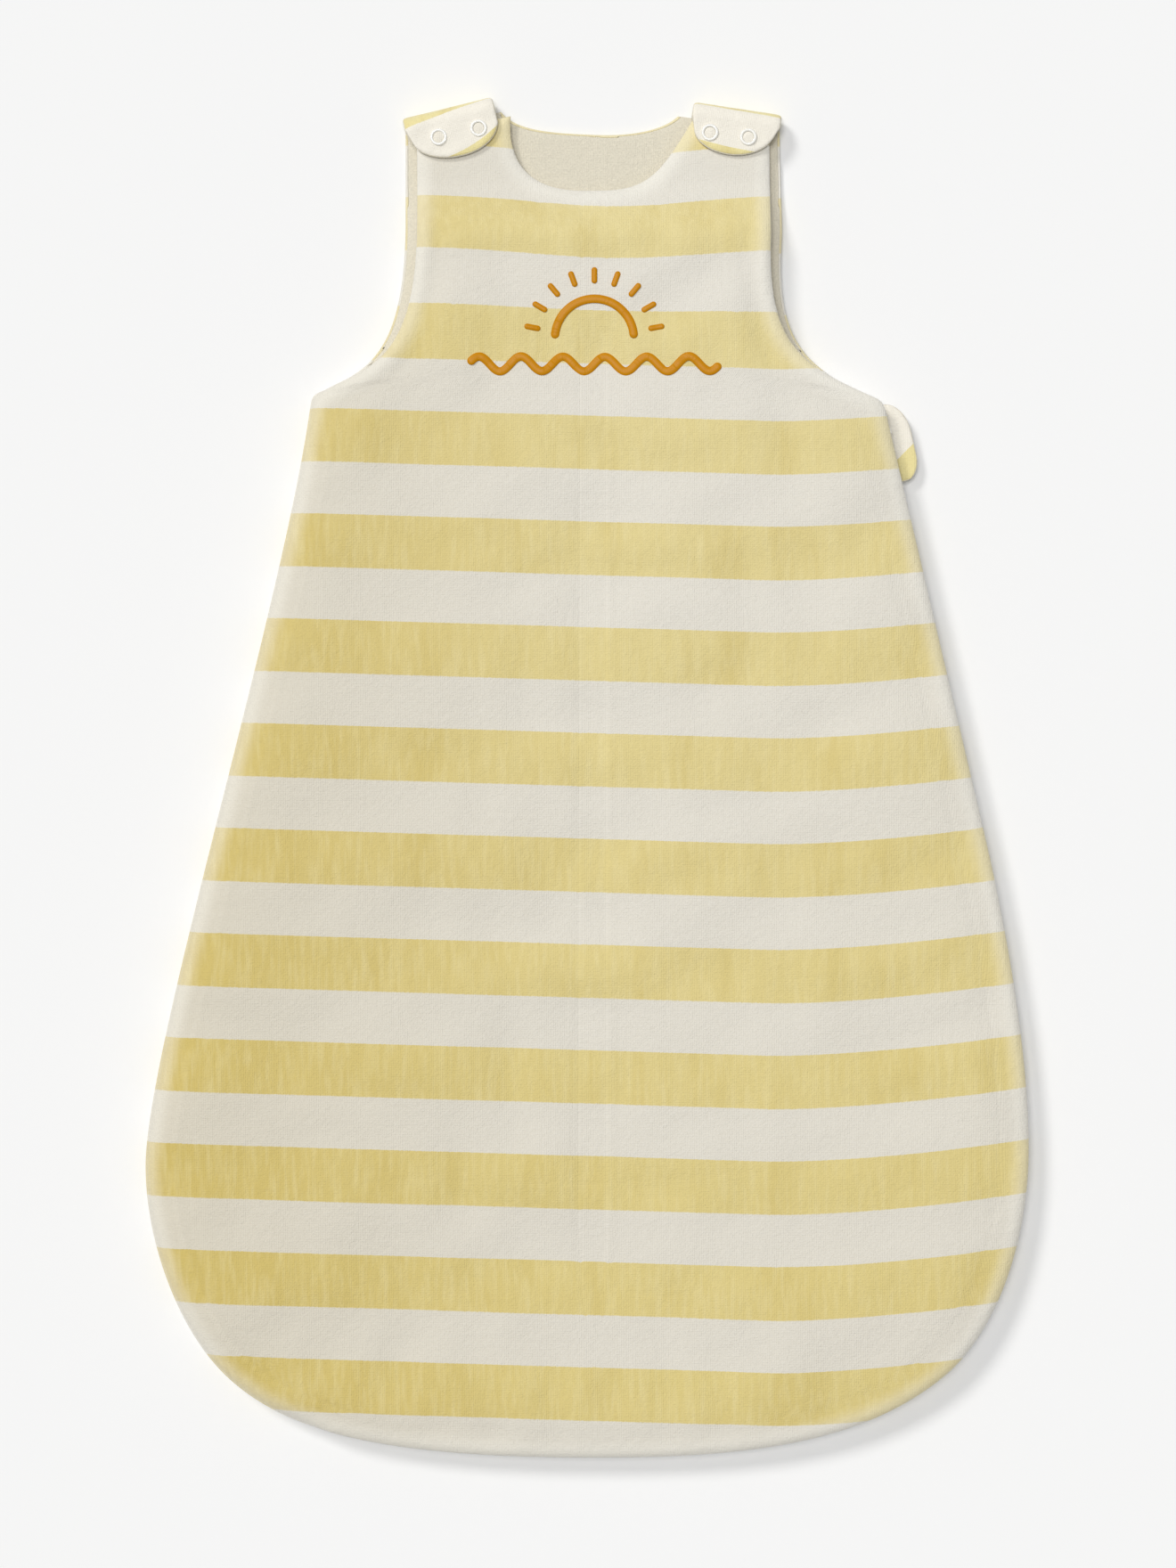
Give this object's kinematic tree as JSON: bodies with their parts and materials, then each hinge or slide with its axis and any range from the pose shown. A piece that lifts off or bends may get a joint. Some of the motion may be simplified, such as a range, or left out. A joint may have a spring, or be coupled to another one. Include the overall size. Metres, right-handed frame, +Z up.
{
  "type": "baby sleeping bag",
  "caption": "Sleeveless padded baby sleeping bag laid flat, with snap-over shoulder tabs, a zip down one side and round the hem, and a front that folds open.",
  "frame": {"origin": "on the floor under the middle of the bag's bounding box, with the bag lying on its back", "axes": "+Z up, +Y towards the head, +X towards the zipped side"},
  "size_m": [0.486, 0.7499, 0.0254],
  "materials": {
    "striped_jersey": "matt brushed cotton jersey in wide soft yellow and cream bands",
    "tab_jersey": "the same striped jersey on the tabs",
    "lining_jersey": "plain cream cotton jersey",
    "wadding": "soft polyester wadding",
    "zip_tape": "woven zip tape",
    "zip_coil": "moulded nylon coil",
    "zip_pull": "enamelled slider and pull",
    "ring_snap": "enamelled off-white ring snap",
    "satin_thread": "ochre satin-stitch thread"
  },
  "bodies": {
    "bag": {"back_shell": "striped_jersey", "back_wadding": "wadding", "back_lining": "lining_jersey", "front_shell_chest": "striped_jersey", "front_wadding_chest": "wadding", "front_lining_chest": "lining_jersey", "left_side_seam": "lining_jersey", "left_shoulder_fold": "tab_jersey", "right_shoulder_fold": "tab_jersey", "left_strap_studs": "ring_snap", "left_strap_stud_rings": "ring_snap", "right_strap_studs": "ring_snap", "right_strap_stud_rings": "ring_snap", "zip_tape_back": "zip_tape", "zip_coil_back": "zip_coil", "zip_tape_front_top": "zip_tape", "zip_coil_front_top": "zip_coil", "zip_top_stops": "zip_coil", "zip_bottom_stop": "zip_coil", "zip_guard_base": "lining_jersey", "sun_embroidery": "satin_thread", "wave_embroidery": "satin_thread"},
    "left_tab": {"left_tab_shell": "tab_jersey", "left_tab_lining": "lining_jersey", "left_tab_snap_rings": "ring_snap", "left_tab_snap_sockets": "ring_snap"},
    "right_tab": {"right_tab_shell": "tab_jersey", "right_tab_lining": "lining_jersey", "right_tab_snap_rings": "ring_snap", "right_tab_snap_sockets": "ring_snap"},
    "zip_guard": {"zip_guard_flap": "tab_jersey"},
    "front_flap": {"front_shell_flap": "striped_jersey", "front_wadding_flap": "wadding", "front_lining_flap": "lining_jersey", "zip_tape_front": "zip_tape", "zip_coil_front": "zip_coil"},
    "zip_slider": {"zip_slider": "zip_pull"},
    "zip_puller": {"zip_puller": "zip_pull"}
  },
  "joints": [
    {"name": "left_tab_fold", "type": "hinge", "parent": "bag", "child": "left_tab", "pos_m": [-0.0755, 0.36113, 0.008], "axis": [-0.9715, -0.237, 0], "range_deg": [0, 180], "deforming": ["left_shoulder_fold"]},
    {"name": "right_tab_fold", "type": "hinge", "parent": "bag", "child": "right_tab", "pos_m": [0.0821, 0.36059, 0.008], "axis": [-0.9888, 0.1493, 0], "range_deg": [0, 180], "deforming": ["right_shoulder_fold"]},
    {"name": "zip_guard_bend", "type": "hinge", "parent": "bag", "child": "zip_guard", "pos_m": [0.17116, 0.18429, 0.0088], "axis": [0.2279, -0.9737, 0], "range_deg": [0, 90]},
    {"name": "front_flap_fold", "type": "hinge", "parent": "bag", "child": "front_flap", "pos_m": [0.011, -0.104, 0.0253], "axis": [-0.5354, -0.8446, 0], "range_deg": [0, 170]},
    {"name": "zip_travel", "type": "slide", "parent": "bag", "child": "zip_slider", "axis": [0.2279, -0.9737, 0], "range_m": [0, 0.2]},
    {"name": "puller_swing", "type": "hinge", "parent": "zip_slider", "child": "zip_puller", "pos_m": [0.16627, 0.18982, 0.013], "axis": [0, 0, 1], "range_deg": [0, 170]}
  ]
}
